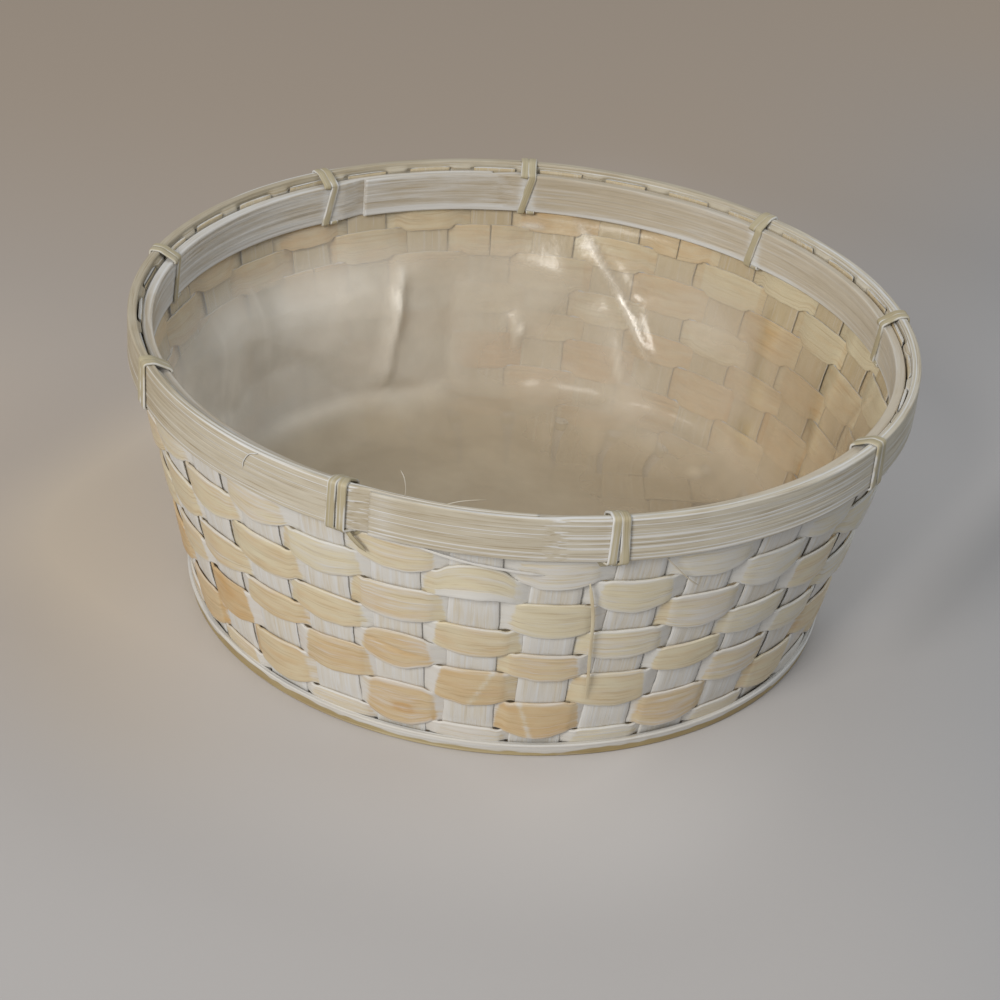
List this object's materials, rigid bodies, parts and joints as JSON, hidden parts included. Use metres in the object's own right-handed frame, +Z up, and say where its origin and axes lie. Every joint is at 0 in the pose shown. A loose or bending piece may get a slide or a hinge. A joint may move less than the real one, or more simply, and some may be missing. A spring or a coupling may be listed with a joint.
{
  "type": "woven bamboo bowl basket",
  "caption": "Low round bowl basket of whitewashed split bamboo: plain-woven wall and base, bound double rim hoop, narrow foot hoop and a clear film liner.",
  "frame": {"origin": "middle of the underside, on the surface that the basket stands on", "axes": "+Z up along the basket's axis; the base's two sets of strips run along X and along Y"},
  "size_m": [0.23, 0.231, 0.089],
  "materials": {
    "hoop": "whitewashed bamboo with fine lengthwise fibres, matte",
    "upright": "heavily whitewashed split bamboo, matte",
    "weaver": "thinly whitewashed cream to tan split bamboo, satin",
    "binding": "olive-tan split strand, satin",
    "foot": "yellow-tan split bamboo with whitewash along the top, satin",
    "film": "clear creased film, glossy"
  },
  "bodies": {
    "root": {"outer_rim_hoop": "hoop", "inner_rim_hoop": "hoop", "foot_hoop": "foot", "upright_strip_x1": "upright", "upright_strip_x2": "upright", "upright_strip_x3": "upright", "upright_strip_x4": "upright", "upright_strip_x5": "upright", "upright_strip_x6": "upright", "upright_strip_x7": "upright", "upright_strip_x8": "upright", "upright_strip_y1": "upright", "upright_strip_y2": "upright", "upright_strip_y3": "upright", "upright_strip_y4": "upright", "upright_strip_y5": "upright", "upright_strip_y6": "upright", "upright_strip_y7": "upright", "upright_strip_y8": "upright", "weaver_row_1": "weaver", "weaver_row_2": "weaver", "weaver_row_3": "weaver", "weaver_row_4": "weaver", "weaver_row_5": "weaver", "weaver_row_6": "weaver", "weaver_row_7": "weaver", "locking_strand": "upright", "rim_binding_1": "binding", "rim_binding_2": "binding", "rim_binding_3": "binding", "rim_binding_4": "binding", "rim_binding_5": "binding", "rim_binding_6": "binding", "rim_binding_7": "binding", "rim_binding_8": "binding", "rim_binding_9": "binding", "film_liner": "film"}
  },
  "joints": []
}
